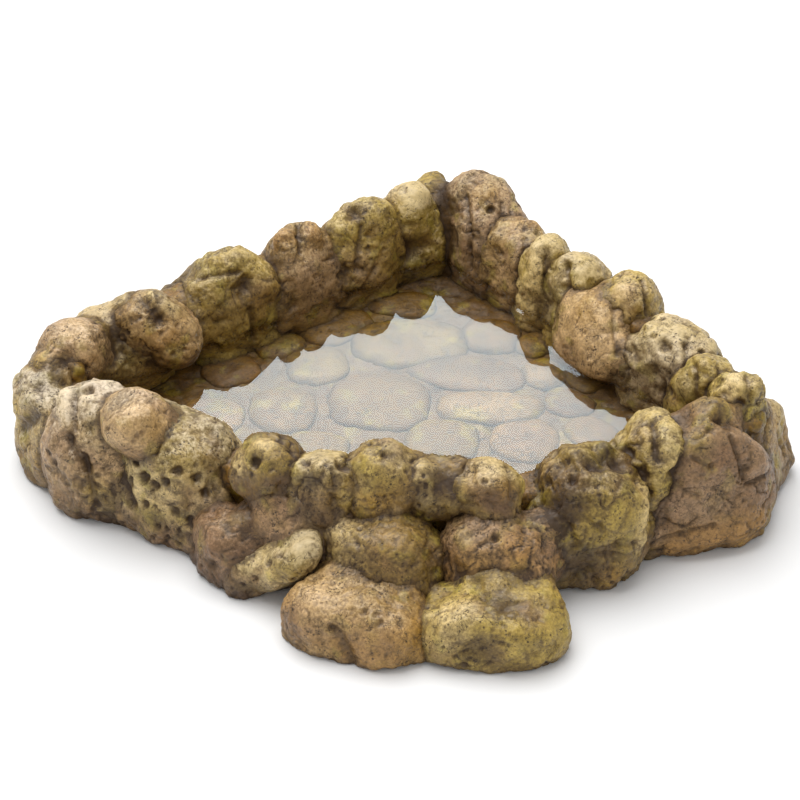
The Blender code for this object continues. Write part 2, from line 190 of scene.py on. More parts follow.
# The thin glaze over the paint, and the colours of the floor cobbles in turn.
ROCK_VARNISH = (1.02, 0.97, 0.77, 1.0)
FLOOR_VARNISH = (1.08, 0.95, 0.48, 1.0)
COBBLE_BASES = ["gold", "olive", "brown", "gold", "salmon", "gold", "mauve"]

# Marks carved and painted on single stones. right and up run from -1 to 1 across the stone, as it
# shows from over the open front of the dish. Widths and heights are in millimetres, and a hollow's height
# is negative. A mark that goes on to a second place is a line.
Mark = namedtuple("Mark", "right up wide high colour share to steep")


def mark(right, up, wide, high=0.0, colour=None, share=0.75, to=None):
    return Mark(right, up, wide, high, colour, share, to, False)


def crack(right, up, to_right, to_up, wide=1.0, high=-1.4):
    return Mark(right, up, wide, high, "umber", 0.5, (to_right, to_up), False)


def hole(right, up, wide=2.4, high=-2.4, colour="brown"):
    return Mark(right, up, 0.8 * wide, high, colour, 0.75, None, True)


# The marks' colours are partly the stones' own paint and partly painted light: light colours on raised
# marks in part paint highlights, and dark colours in hollows, holes and cracks in part paint the shade in
# them.
MARKS = {
    "left_end_boulder": [
        mark(0.3, 0.6, 9, 0.6, "peach"), mark(0.1, -0.2, 4.5, -1.8, "brown", 0.5),
        mark(-0.5, -0.5, 6, 1.6, "yellow"), crack(-0.1, -0.3, 0.1, -0.8, 1.6),
    ],
    "left_dark_block": [
        mark(0.05, 0.6, 4.5, -2.6, "umber", 0.6, (0.1, 0.1)), mark(0.3, -0.1, 10, 0.5, "grey", 0.5),
        mark(-0.2, 0.75, 8, 0.8, "tan"),
    ],
    "left_leaning_egg": [
        mark(-0.45, 0.8, 2.4, -2.4, "brown", 0.5, (0.0, 0.2)), mark(-0.05, 0.25, 3.4, -1.2, "brown", 0.4),
        mark(-0.2, 0.85, 4.0, 1.4, "cream", 0.5, (0.25, 0.5)), mark(0.1, -0.1, 7, 0.4, "orange", 0.5),
        mark(-0.75, 0.4, 6, 0.6, "tan", 0.6), hole(0.4, 0.1, 1.2, -0.9), hole(0.3, -0.6, 1.3, -0.9),
        hole(0.0, -0.75, 1.2, -0.8), hole(0.6, -0.5, 1.3, -0.9),
    ],
    "left_end_stone": [
        mark(-0.7, 0.2, 5, 1.2, "yellow", 0.8), mark(-0.6, -0.1, 2.8, -2.4, "umber", 0.6, (0.0, 0.1)),
        mark(-0.1, -0.5, 9, 1.4, "tan", 0.6), mark(-0.5, -0.2, 2.8, 0.0, "lichen", 0.7),
        mark(0.1, 0.6, 4, -1.6, "umber", 0.4),
    ],
    "ridged_tall_stone": [
        hole(-0.7, 0.7, 2.8), hole(0.0, 0.8, 2.6), crack(-0.05, -0.1, 0.1, -0.75, 1.7, -2.2),
        hole(0.15, -0.35, 1.8, -1.6, "umber"), hole(-0.15, -0.5, 1.6, -1.4, "umber"),
        mark(-0.2, 0.8, 2.8, 0.0, "lichen", 0.7), mark(-0.5, 0.8, 3.2, 2.4, "cream", 0.7, (-0.35, 0.35)),
        mark(0.0, 0.65, 3.2, 2.2, "cream", 0.6, (-0.1, 0.2)),
        mark(0.25, 0.6, 3.0, 2.0, "grey", 0.6, (0.2, 0.1)), crack(-0.25, 0.75, -0.2, 0.3, 1.4, -1.9),
        crack(-0.35, 0.2, -0.05, -0.25, 1.9, -2.2), mark(-0.55, 0.1, 9, 1.2, "pink", 0.8),
        mark(-0.35, -0.45, 8, 0.8, "salmon", 0.6), mark(0.2, -0.6, 6, 0.4, "yellow", 0.7),
    ],
    "peach_boulder": [
        mark(-0.4, 0.6, 7, -1.4, "lilac", 0.8), mark(0.5, -0.15, 7, 0.6, "ochre", 0.5),
        mark(-0.1, 0.1, 7, 0.6, "peach", 0.6), hole(0.15, -0.45, 1.3, -0.8), hole(0.3, -0.35, 1.1, -0.7),
        hole(0.05, -0.6, 1.1, -0.7), hole(-0.7, -0.25, 1.1, -0.7),
    ],
    "pitted_boulder": [
        mark(-0.85, 0.25, 2.8, -2.8, "umber", 0.7, (-0.6, -0.35)),
        mark(-0.3, -0.55, 5, 0.4, "lichen", 0.8), mark(0.25, 0.7, 9, 0.6, "grey", 0.6),
        mark(0.1, 0.35, 11, 1.0, "yellow", 0.6), mark(0.6, -0.3, 10, 0.0, "mauve", 0.6),
        mark(-0.1, -0.8, 12, 0.0, "mauve", 0.5), hole(-0.4, 0.0, 3.0, -2.6, "umber"),
        hole(-0.25, -0.1, 2.6, -2.4, "umber"), hole(-0.1, -0.05, 2.2, -2.0, "umber"),
        hole(-0.5, 0.2, 2.4, -2.2, "umber"), hole(-0.6, -0.05, 2.4, -2.2, "umber"),
        hole(0.05, 0.1, 2.4, -2.0, "umber"), hole(-0.4, -0.35, 2.2, -2.0, "umber"),
        hole(0.0, -0.45, 2.6, -2.2, "umber"), hole(0.2, -0.55, 2.2, -2.0, "umber"),
        hole(0.3, 0.0, 2.6, -2.0, "umber"), hole(0.4, -0.2, 2.4, -1.8, "umber"),
        hole(-0.2, 0.35, 2.2, -1.8, "umber"),
    ],
    "rim_boulder_holed": [
        hole(-0.25, 0.15, 3.2, -3.4), mark(0.0, 0.1, 7.5, 0.8, "yellow", 0.6),
        mark(0.5, -0.5, 7, -0.6, "plum", 0.7), mark(-0.8, 0.1, 5, 0.6, "cream", 0.7),
        mark(0.0, 0.65, 4, 1.4, "cream", 0.6),
    ],
    "rim_crag_yellow": [
        mark(0.25, 0.45, 5, 3.0, "yellow", 0.8), hole(0.7, 0.5, 2.6),
        hole(-0.5, 0.65, 2.2, -2.0, "umber"), crack(0.0, 0.1, 0.25, 0.6), crack(0.5, 0.0, 0.4, 0.4),
        mark(-0.2, -0.5, 9, -1.0, "mauve", 0.7), mark(-0.4, 0.1, 5, -1.6, "grey", 0.7),
    ],
    "rim_boulder_middle": [
        mark(-0.1, 0.1, 9, 1.2, "yellow", 0.8), hole(0.0, 0.65, 1.6, -1.6, "umber"),
        mark(0.55, -0.3, 8, -0.8, "brown", 0.6), mark(-0.2, -0.55, 6, 0.6, "ochre", 0.6),
        mark(-0.7, 0.0, 5, -0.8, "grey", 0.6), mark(0.3, 0.6, 6, 0.8, "lilac", 0.6),
    ],
    "rim_knob_dark": [
        mark(0.15, 0.2, 6, -2.0, "umber", 0.6), mark(-0.6, 0.5, 3.6, 1.6, "cream", 0.6),
        mark(0.6, 0.6, 3.2, 1.4, "tan", 0.6), mark(-0.5, -0.4, 4, 1.2, "grey", 0.6),
    ],
    "rim_knob_right": [
        mark(0.1, 0.7, 8, 0.8, "cream", 0.8), mark(0.2, -0.4, 8, -0.6, "plum", 0.9),
        mark(0.5, 0.15, 4, 0.5, "ochre", 0.8), mark(-0.5, -0.1, 6, 0.0, "mauve", 0.6),
        crack(0.55, 0.8, 0.65, -0.2, 1.3, -1.1), hole(-0.2, 0.3, 1.4, -1.2, "umber"),
    ],
    "front_matrix_stone": [
        mark(-0.4, 0.3, 8, 1.2, "pink", 0.6), mark(0.3, 0.5, 8, -1.4, "grey", 0.6),
        mark(-0.1, -0.2, 4, -1.6, "umber", 0.5),
    ],
    "upper_step_left": [
        mark(-0.3, 0.95, 5, -3.0, "umber", 0.4), mark(-0.6, 0.6, 8, 1.6, "cream", 0.6),
        mark(0.3, 0.4, 12, 1.4, "tan", 0.4), mark(0.1, -0.7, 10, -0.8, "brown", 0.7),
        mark(-0.85, -0.2, 7, -0.8, "grey", 0.6), hole(-0.35, 0.6, 1.4, -1.4, "umber"),
    ],
    "upper_step_right": [
        mark(0.35, 0.3, 8, 1.4, "orange", 0.75), mark(-0.4, -0.1, 8, 0.6, "ochre", 0.6),
        mark(-0.3, 0.7, 8, 0.6, "pink", 0.7), mark(-0.85, 0.0, 6, -0.4, "mauve", 0.7),
        mark(0.85, 0.2, 5, -0.4, "mauve", 0.6), hole(-0.05, 0.45, 1.8, -1.8, "umber"),
        crack(-0.3, -0.2, 0.4, -0.15, 0.9, -0.8), mark(0.0, -0.75, 8, -2.0, "umber", 0.6),
    ],
    "lower_step_left": [
        mark(-0.25, -0.15, 2.6, -2.6, "brown", 0.6, (0.0, -0.95)),
        mark(-0.45, 0.45, 13, 1.2, "peach", 0.85), mark(0.25, -0.7, 9, 1.0, "orange", 0.7),
        mark(0.8, -0.4, 8, 0.0, "ochre", 0.8), mark(-0.85, -0.1, 8, 0.0, "mauve", 0.7),
        mark(0.2, -0.1, 9, 0.4, "salmon", 0.5), hole(-0.3, -0.1, 1.8, -1.2),
        mark(0.2, 0.5, 9, 0.0, "tan", 0.6), hole(0.3, 0.15, 1.6, -1.2), hole(0.15, 0.2, 1.5, -1.0),
        hole(0.35, 0.0, 1.5, -1.0),
    ],
    "lower_step_right": [
        mark(-0.6, 0.15, 10, 1.8, "cream", 0.7), mark(-0.3, -0.5, 8, -3.4, "olive", 0.6),
        mark(-0.35, -0.75, 5, 1.6, "yellow", 0.7), mark(0.05, 0.5, 7, -1.4, "umber", 0.55),
        mark(-0.2, 0.0, 4.5, 1.4, "yellow", 0.7, (0.6, -0.3)), mark(0.45, 0.3, 4.5, -0.6, "mauve", 0.7),
        mark(0.7, -0.5, 9, 0.4, "yellow", 0.6), hole(-0.45, -0.85, 1.8, -1.4, "umber"),
    ],
    "slanted_side_stone": [
        mark(0.1, -0.2, 4, 0.6, "yellow", 0.8, (0.5, 0.3)), hole(-0.2, 0.1, 1.8, -1.6, "umber"),
        hole(0.1, 0.4, 1.6, -1.4, "umber"), hole(-0.5, -0.4, 1.8, -1.4),
        mark(0.6, 0.6, 6, 0.0, "grey", 0.6),
    ],
    "mauve_side_boulder": [
        mark(0.0, 0.55, 7, 0.8, "salmon", 0.7), mark(-0.5, -0.4, 3, -2.2, "umber", 0.7),
        mark(-0.5, 0.1, 7, 0.4, "mauve", 0.6), mark(0.4, -0.3, 8, 0.0, "plum", 0.7),
    ],
    "front_craggy_mound": [
        mark(-0.1, 0.85, 6, 4.0, "yellow", 0.6), mark(0.3, 0.9, 5, 3.4, "lichen", 0.6),
        mark(0.5, 0.75, 5, -4.0, "umber", 0.6), mark(-0.4, 0.2, 11, -3.4, "umber", 0.6),
        mark(0.4, -0.05, 11, 3.0, "yellow", 0.8), crack(0.1, -0.4, 0.8, -0.3, 0.9, -0.8),
        crack(0.2, -0.5, 0.75, -0.45, 0.9, -0.8), mark(0.0, -0.7, 9, -1.4, "umber", 0.45),
        mark(0.85, 0.35, 3.4, 1.6, "cream", 0.6, (0.85, -0.35)), mark(-0.5, 0.55, 6, 2.6, "tan", 0.6),
        mark(0.1, 0.7, 4, -2.0, "umber", 0.5), mark(-0.7, -0.5, 8, 1.2, "olive", 0.6),
        mark(0.4, -0.8, 6, 1.4, "ochre", 0.6), hole(-0.2, 0.55, 2.6, -2.0, "umber"),
    ],
    "front_craggy_cap": [
        mark(0.15, 0.7, 5.5, 1.4, "tan", 0.6), crack(0.45, 0.9, 0.5, 0.4, 1.3, -2.2),
        mark(0.85, 0.5, 5.5, 2.0, "cream", 0.4), hole(-0.3, 0.45, 3.6, -2.4), hole(0.05, 0.2, 3.6, -2.2),
        mark(-0.2, -0.05, 3.4, 0.6, "lichen", 0.7), mark(0.6, 0.0, 5, 1.4, "yellow", 0.6),
    ],
    "front_right_block": [
        mark(0.15, 0.9, 6.5, 4.2, "yellow", 0.7), hole(0.15, 0.75, 2.8, -3.4, "ochre"),
        mark(0.45, 0.85, 5, 2.4, "cream", 0.6), mark(0.3, 0.7, 3.0, -2.0, "umber", 0.3),
        mark(-0.15, 0.5, 5, 1.8, "lichen", 0.4), mark(-0.45, 0.75, 10, -4.4, "salmon", 0.4),
        mark(0.7, 0.25, 12, 2.4, "pink", 0.6), crack(0.3, 0.55, 0.5, 0.0, 1.0, -1.9),
        crack(-0.2, 0.3, 0.05, 0.15, 0.9, -1.2), crack(-0.35, -0.1, -0.1, -0.2, 0.9, -1.2),
        crack(0.55, -0.05, 0.85, 0.1, 0.9, -1.3), crack(0.1, -0.1, 0.3, -0.2, 0.9, -1.1),
        mark(0.85, 0.75, 8, -3.0, "tan", 0.4), hole(0.5, 0.15, 1.8, -1.4), hole(0.05, 0.2, 1.6, -1.2),
        mark(-0.1, -0.3, 14, 0.6, "pink", 0.7), crack(-0.65, -0.8, 0.15, -0.6, 0.9, -1.3),
        mark(-0.3, -0.9, 6, 0.8, "orange", 0.75, (0.7, -0.55)),
        mark(-0.5, 0.2, 5.5, -3.0, "umber", 0.6, (-0.8, -0.4)), mark(0.2, -0.35, 10, 0.0, "salmon", 0.5),
    ],
    "right_end_stone": [
        mark(0.9, -0.1, 6, 2.2, "tan", 0.6), crack(0.3, 0.4, 0.6, 0.0),
        mark(0.4, 0.7, 6, 1.0, "yellow", 0.6), mark(0.8, -0.5, 6, 0.0, "brown", 0.6),
        crack(0.7, 0.5, 0.6, 0.1),
    ],
    "right_end_knob": [
        mark(-0.3, 0.6, 4, 1.4, "cream", 0.6), crack(0.1, 0.8, 0.2, 0.0),
        mark(0.6, 0.3, 4, 1.0, "yellow", 0.6), hole(-0.1, -0.1, 2.2, -1.8, "umber"),
    ],
    "right_wall_knob": [
        mark(0.0, 0.85, 5, 1.8, "yellow", 0.7), crack(-0.3, 0.8, -0.3, 0.2), crack(0.3, 0.7, 0.2, 0.1),
        mark(-0.6, 0.4, 5, 1.2, "grey", 0.6),
    ],
    "right_cracked_block": [
        mark(-0.5, 0.75, 6, 1.2, "yellow", 0.8, (0.4, 0.75)), mark(-0.2, 0.2, 10, 0.8, "lilac", 0.7),
        crack(0.15, 0.5, 0.15, -0.4, 1.2, -1.8), crack(0.45, 0.4, 0.4, -0.4, 1.1, -1.4),
        crack(-0.2, 0.0, -0.1, -0.5, 1.0, -1.1), hole(-0.2, 0.5, 3.0, -2.4, "umber"),
        mark(0.7, 0.3, 6, 1.0, "yellow", 0.5),
    ],
    "right_inner_wedge": [
        mark(0.0, -0.1, 10, 0.4, "peach", 0.6), crack(0.4, 0.6, 0.5, -0.4, 0.9, -1.0),
        mark(-0.1, 0.75, 7, 0.4, "ochre", 0.7), mark(-0.6, -0.4, 6, 0.0, "mauve", 0.5),
    ],
    "right_wall_block": [
        mark(-0.1, 0.6, 7, 1.2, "peach", 0.6), mark(0.5, 0.5, 6, 1.2, "yellow", 0.7),
        crack(0.2, 0.8, 0.25, 0.3, 1.0, -1.4), hole(-0.4, 0.3, 2.4, -2.0, "umber"),
    ],
    "right_wall_cap": [
        mark(0.1, 0.7, 6, 2.0, "yellow", 0.6), crack(-0.5, 0.7, -0.4, 0.0, 1.7, -2.1),
        mark(-0.7, 0.5, 5, 1.4, "grey", 0.6), mark(0.4, 0.2, 5, -1.8, "umber", 0.4),
        mark(0.1, -0.3, 6, 1.4, "lilac", 0.6),
    ],
    "right_wall_spur": [
        mark(0.15, 0.85, 5, 2.2, "yellow", 0.7), mark(-0.4, 0.7, 3.4, 1.4, "cream", 0.7, (-0.5, 0.1)),
        crack(-0.1, 0.7, -0.1, 0.0, 1.3, -1.6),
    ],
    "right_corner_wedge": [
        mark(0.15, 0.9, 5, 1.0, "orange", 0.7), mark(0.4, 0.6, 5, -0.8, "grey", 0.6),
        crack(0.1, 0.6, 0.0, -0.1, 1.2, -1.4), mark(-0.2, 0.2, 6, 1.0, "pink", 0.6),
    ],
    "right_corner_slab": [
        mark(-0.85, 0.7, 4.5, -1.8, "umber", 0.85, (-0.85, -0.6)), mark(-0.5, 0.8, 7, 1.0, "salmon", 0.6),
        mark(0.0, 0.65, 6, 0.8, "ochre", 0.7), crack(-0.4, 0.6, -0.3, -0.4, 1.2, -1.6),
        mark(-0.05, 0.1, 10, 0.8, "pink", 0.7), crack(0.35, 0.5, 0.3, -0.5, 1.2, -1.4),
        hole(0.1, 0.4, 2.2, -1.8, "umber"), mark(0.3, -0.5, 8, 0.0, "ochre", 0.5),
    ],
    "left_corner_chip": [
        mark(-0.4, 0.7, 6, 1.0, "yellow", 0.7), mark(0.4, 0.8, 6, -2.4, "umber", 0.9, (0.3, -0.8)),
    ],
    "left_corner_oval": [
        mark(0.0, 0.5, 8, 2.0, "yellow", 0.8), mark(0.0, -0.15, 6, -3.2, "umber", 0.7),
        mark(0.5, 0.1, 4, 0.6, "brown", 0.6),
    ],
    "left_wall_twin": [
        mark(0.4, 0.8, 7, 2.4, "yellow", 0.7), mark(-0.45, 0.45, 6, 2.0, "yellow", 0.6),
        mark(-0.05, 0.7, 4, -2.8, "umber", 0.5), crack(0.1, 0.5, 0.0, -0.2, 1.4, -1.6),
        mark(0.2, -0.2, 8, 0.6, "pink", 0.5), mark(-0.5, 0.9, 5, 1.4, "yellow", 0.6),
    ],
    "left_wall_wedge": [
        mark(-0.25, 0.75, 5, 2.6, "orange", 0.8), mark(0.35, 0.8, 5, 2.6, "orange", 0.8),
        crack(0.05, 0.95, 0.1, 0.5, 1.4, -2.6), mark(0.35, 0.1, 11, 1.2, "pink", 0.7),
        mark(-0.5, 0.3, 6, -2.2, "umber", 0.5), mark(-0.3, -0.3, 8, 0.6, "olive", 0.5),
    ],
    "left_wall_block": [
        mark(-0.15, 0.75, 4.5, 2.8, "yellow", 0.8), mark(0.2, 0.85, 4.5, 2.6, "yellow", 0.8),
        mark(-0.15, 0.1, 12, 0.6, "olive", 0.5), mark(0.7, 0.3, 8, 2.2, "tan", 0.6),
        mark(0.4, 0.4, 4, -2.8, "umber", 0.7), mark(-0.75, 0.65, 8, -3.2, "olive", 0.4),
        mark(0.15, -0.4, 8, 0.8, "yellow", 0.5), crack(-0.4, 0.5, 0.3, 0.6, 1.3, -1.4),
        crack(0.45, 0.1, 0.5, -0.5, 1.3, -1.4),
    ],
}


def linear(name):
    """A palette colour in linear light."""
    parts = np.array(COLOURS[name]) / 255.0
    return np.where(parts <= 0.04045, parts / 12.92, ((parts + 0.055) / 1.055) ** 2.4)


def smooth(low, high, value):
    t = np.clip((value - low) / (high - low), 0.0, 1.0)
    return t * t * (3.0 - 2.0 * t)


def mix(first, second, share):
    return first + (second - first) * share[:, None]


# Noise. Points and sizes are in millimetres.

CHANCE = np.random.default_rng(20)
ORDER = CHANCE.permutation(256)
SPOTS = CHANCE.random((256, 4))
SLOPES = CHANCE.normal(size=(256, 3))
SLOPES /= np.linalg.norm(SLOPES, axis=1)[:, None]
OFFSETS = CHANCE.random((4096, 3)) * 200.0


def noise(points, size, seed):
    """Gradient noise, about -1 to 1."""
    scaled = points / size + OFFSETS[seed % 4096]
    cell = np.floor(scaled).astype(np.int64)
    part = scaled - cell
    fade = part ** 3 * (part * (part * 6 - 15) + 10)
    total = np.zeros(len(points))
    for x in (0, 1):
        column = ORDER[(cell[:, 0] + x) & 255] + cell[:, 1]
        weight_x = fade[:, 0] if x else 1 - fade[:, 0]
        for y in (0, 1):
            row = ORDER[(column + y) & 255] + cell[:, 2]
            weight_y = weight_x * (fade[:, 1] if y else 1 - fade[:, 1])
            for z in (0, 1):
                slope = SLOPES[ORDER[(row + z) & 255]]
                weight = weight_y * (fade[:, 2] if z else 1 - fade[:, 2])
                dot = slope[:, 0] * (part[:, 0] - x) + slope[:, 1] * (part[:, 1] - y)
                total += weight * (dot + slope[:, 2] * (part[:, 2] - z))
    return total * 1.5


def layered(points, size, seed, layers=3):
    total = np.zeros(len(points))
    for layer in range(layers):
        total += noise(points, size / 2 ** layer, seed + layer) / 2 ** layer
    return total / 1.4


def cells(points, size, seed):
    """Distance to the nearest scattered point, in cells, and that point's own number."""
    scaled = points / size + OFFSETS[seed % 4096]
    home = np.floor(scaled).astype(np.int64)
    part = scaled - home
    nearest = np.full(len(points), 81.0)
    number = np.zeros(len(points))
    for x in (-1, 0, 1):
        column = ORDER[(home[:, 0] + x) & 255] + home[:, 1]
        for y in (-1, 0, 1):
            row = ORDER[(column + y) & 255] + home[:, 2]
            for z in (-1, 0, 1):
                spot = SPOTS[ORDER[(row + z) & 255]]
                gap = (spot[:, 0] + x - part[:, 0]) ** 2 + (spot[:, 1] + y - part[:, 1]) ** 2
                gap += (spot[:, 2] + z - part[:, 2]) ** 2
                closer = gap < nearest
                nearest[closer] = gap[closer]
                number[closer] = spot[closer, 3]
    return np.sqrt(nearest), number


def curb_distance(points):
    """How far inside the curb's centre line the points are, negative outside it."""
    nearest = np.full(len(points), FAR)
    for (x0, y0), (x1, y1) in zip(CURB, CURB[1:] + CURB[:1]):
        length = math.hypot(x1 - x0, y1 - y0)
        across = ((x1 - x0) * (points[:, 1] - y0) - (y1 - y0) * (points[:, 0] - x0)) / length
        nearest = np.minimum(nearest, across)
    return nearest


# Meshes.

def read_vectors(items, name):
    flat = np.empty(len(items) * 3, np.float32)
    items.foreach_get(name, flat)
    return flat.reshape(-1, 3).astype(float)


def read_points(mesh):
    return read_vectors(mesh.vertices, "co") / MM


def read_normals(mesh):
    return read_vectors(mesh.vertex_normals, "vector")


def write_points(mesh, points):
    mesh.vertices.foreach_set("co", (points * MM).astype(np.float32).ravel())
    mesh.update()


def write_numbers(mesh, name, values):
    found = mesh.attributes.get(name) or mesh.attributes.new(name, "FLOAT", "POINT")
    found.data.foreach_set("value", values.astype(np.float32))


def read_numbers(mesh, name):
    values = np.empty(len(mesh.vertices), np.float32)
    mesh.attributes[name].data.foreach_get("value", values)
    return values.astype(float)


def write_paint(mesh, colours):
    found = mesh.color_attributes.new("paint", "FLOAT_COLOR", "POINT")
    four = np.ones((len(colours), 4), np.float32)
    four[:, :3] = colours
    found.data.foreach_set("color", four.ravel())


def new_object(name, data):
    item = bpy.data.objects.new(name, data)
    bpy.context.scene.collection.objects.link(item)
    return item


def applied(name, mesh, *modifiers):
    """The mesh with some modifiers applied, each a type and its settings."""
    item = new_object(name, mesh)
    for kind, settings in modifiers:
        modifier = item.modifiers.new(kind.lower(), kind)
        for key, value in settings.items():
            setattr(modifier, key, value)
    bpy.context.view_layer.update()
    made = bpy.data.meshes.new_from_object(item.evaluated_get(bpy.context.evaluated_depsgraph_get()))
    bpy.data.objects.remove(item)
    return made


def whole_form(node):
    """The stone's form without the cuts its neighbours made: the hull round its CAD solid."""
    form = bmesh.new()
    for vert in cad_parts[node].data.vertices:
        form.verts.new(vert.co)
    result = bmesh.ops.convex_hull(form, input=form.verts[:])
    unused = {item for item in result["geom_interior"] + result["geom_unused"]
              if isinstance(item, bmesh.types.BMVert)}
    bmesh.ops.delete(form, geom=list(unused), context="VERTS")
    mesh = bpy.data.meshes.new(node + "_whole")
    form.to_mesh(mesh)
    form.free()
    return mesh


def rounded(node, mesh, voxel, passes):
    return applied(
        node + "_round", mesh,
        ("REMESH", {"mode": "VOXEL", "voxel_size": voxel * MM}),
        ("SMOOTH", {"factor": 0.5, "iterations": passes}),
    )


def tree_of(mesh):
    points = [vert.co.copy() for vert in mesh.vertices]
    return BVHTree.FromPolygons(points, [tuple(face.vertices) for face in mesh.polygons])


def gaps(points, own, trees, boxes, reach):
    """How far each point is from the nearest other stone, up to reach."""
    closest = np.full(len(points), reach)
    low, high = points.min(axis=0) - reach, points.max(axis=0) + reach
    for name, tree in trees.items():
        box = boxes[name]
        if name == own or (box[0] > high).any() or (box[1] < low).any():
            continue
        near = np.flatnonzero(((points > box[0] - reach) & (points < box[1] + reach)).all(axis=1))
        for index in near:
            spot = Vector(points[index] * MM)
            place, normal, _, distance = tree.find_nearest(spot, reach * MM)
            if place is None:
                continue
            inside = (spot - place).dot(normal) < 0.0
            closest[index] = min(closest[index], 0.0 if inside else distance / MM)
    return closest


def mark_path(mark, points, tree):
    """The places of a mark on the stone's surface."""
    middles = [(points @ axis).min() / 2 + (points @ axis).max() / 2 for axis in (ACROSS, RISE)]
    halves = [np.ptp(points @ axis) / 2 for axis in (ACROSS, RISE)]
    end = mark.to or (mark.right, mark.up)
    depth = (points @ TOWARDS).mean()
    path = []
    for share in np.linspace(0.0, 1.0, PATH_STEPS if mark.to else 1):
        right = mark.right + (end[0] - mark.right) * share
        up = mark.up + (end[1] - mark.up) * share
        place = ACROSS * (middles[0] + right * halves[0]) + RISE * (middles[1] + up * halves[1])
        hit = tree.ray_cast(Vector((place + TOWARDS * RAY_START) * MM), Vector(-TOWARDS))[0]
        if hit is None:
            hit = tree.find_nearest(Vector((place + TOWARDS * depth) * MM))[0]
        path.append(np.array(hit) / MM)
    return path


def distance_to(points, path):
    nearest = np.linalg.norm(points - path[0], axis=1)
    for first, second in zip(path, path[1:]):
        line = second - first
        share = np.clip((points - first) @ line / max(line @ line, 1e-6), 0.0, 1.0)
        nearest = np.minimum(nearest, np.linalg.norm(points - first - share[:, None] * line, axis=1))
    return nearest


def carved(points, marks, tree, seed):
    """The height that a stone's marks add, how deep they cut, and each mark's weight."""
    height = np.zeros(len(points))
    cut = np.zeros(len(points))
    weights = []
    for number, item in enumerate(marks):
        ragged = 1.0 + 0.35 * noise(points, max(2.2, item.wide * 0.9), seed + 200 + number)
        apart = distance_to(points, mark_path(item, points, tree)) * ragged / item.wide
        weight = np.exp(-apart ** (4 if item.steep else 2))
        height += item.high * weight
        # A deep hollow also adds to the recesses, which get the dark wash and painted shade.
        if item.high < -0.9:
            cut += weight ** 1.5 * min(1.0, -item.high / 3.0)
        weights.append(weight)
    return height, cut, weights


def stone_relief(points, normals, size, style, seed, carving):
    """Moves the points along their normals. Returns the new points, the recesses and the high points."""
    swing = np.stack([noise(points, 7.0, seed + 20 + axis) for axis in range(3)], axis=1)
    lumps = layered(points, 17.0, seed)
    hollows = smooth(0.0, 0.55, layered(points, 8.5, seed + 10))
    folded = np.abs(noise(points + swing * 2.0, 15.0, seed + 12))
    creases = smooth(0.16, 0.0, folded)
    line = noise(points + swing * 2.2, 9.5, seed + 30)
    where = smooth(-0.05, 0.3, noise(points, 13.0, seed + 31))
    cracks = np.exp(-(line / 0.055) ** 2) * where
    fine_line = noise(points + swing * 1.5, 4.6, seed + 33)
    fine_cracks = np.exp(-(fine_line / 0.09) ** 2) * smooth(0.0, 0.35, noise(points, 10.0, seed + 34))
    distance, number = cells(points, style.pit_size, seed + 40)
    wanted = smooth(-0.15, 0.35, noise(points, 12.0, seed + 41)) * (number > 0.35)
    pits = smooth(0.46, 0.16, distance) * wanted
    tiny_distance, tiny_number = cells(points, style.pit_size * 0.5, seed + 50)
    tiny_pits = smooth(0.42, 0.2, tiny_distance) * (tiny_number > 0.55) * smooth(
        -0.1, 0.3, noise(points, 9.0, seed + 51))
    grain = layered(points, 2.7, seed + 60, 2)
    height = style.lump * lumps - style.dent * hollows - style.crack * (cracks + 0.5 * fine_cracks)
    height += style.crease * (np.minimum(folded * 2.2, 0.8) - 0.5)
    height -= style.pit * (pits + 0.35 * tiny_pits)
    height += style.grain * grain
    if style.ridge:
        axis = np.array(style.ridge_axis, float)
        axis /= np.linalg.norm(axis)
        along = points @ axis
        squeezed = points - np.outer(along, axis) * 0.8 + swing * 0.8
        ridges = noise(squeezed, 3.6, seed + 70)
        height += style.ridge * ridges
    else:
        ridges = np.zeros(len(points))
    if style.swirl:
        curls = noise(points + swing * 3.0, 2.6, seed + 80)
        height += style.swirl * np.abs(curls) * 1.6 - style.swirl * 0.4
    else:
        curls = np.ones(len(points))
    recess = 0.35 * hollows + 0.25 * style.crease * creases + 0.75 * cracks + 0.5 * fine_cracks
    recess += pits * min(1.0, style.pit * 1.3)
    recess += 0.6 * tiny_pits + 0.35 * smooth(0.1, 0.6, -grain)
    recess += 0.35 * smooth(0.1, 0.5, -ridges) + 0.35 * smooth(0.22, 0.0, np.abs(curls))
    proud = smooth(-0.1, 0.6, lumps) * 0.5 + smooth(0.0, 0.5, grain) * 0.5
    proud += 0.3 * smooth(0.0, 0.5, ridges) - 0.6 * hollows
    carved_height, cut = carving
    quiet = 1.0 - 0.5 * np.minimum(1.0, np.abs(carved_height) / 3.0)
    height = height * size * quiet + carved_height
    return points + normals * height[:, None], recess + cut, proud - 0.5 * cut


